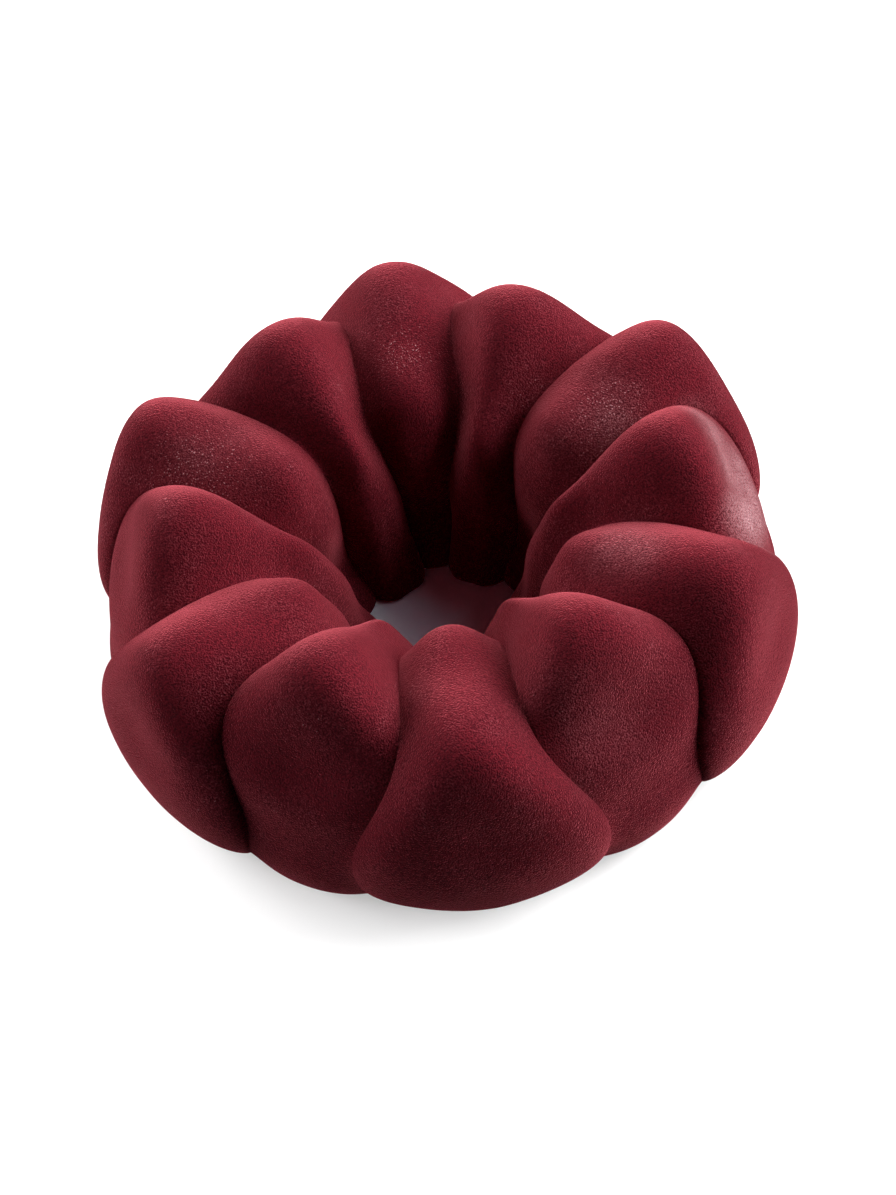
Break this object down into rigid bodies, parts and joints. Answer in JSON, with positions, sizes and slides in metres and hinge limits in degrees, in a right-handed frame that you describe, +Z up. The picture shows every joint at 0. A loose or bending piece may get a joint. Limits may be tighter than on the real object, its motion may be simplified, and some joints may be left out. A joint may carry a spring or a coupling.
{
  "type": "bundt-shaped mousse cake",
  "caption": "Ring-shaped velvet-coated mousse cake with alternating broad-footed and narrow-footed rounded lobes, an open middle and a flat base.",
  "frame": {"origin": "middle of the flat base, on the ring's axis", "axes": "+Z up out of the base, -Y towards the front of the cake, where a broad-footed lobe faces"},
  "size_m": [0.1736, 0.182, 0.0663],
  "materials": {
    "velvet_coat": "matte sprayed cocoa-butter velvet, deep wine red with a fine grain"
  },
  "bodies": {
    "root": {"mousse_ring": "velvet_coat"}
  },
  "joints": []
}
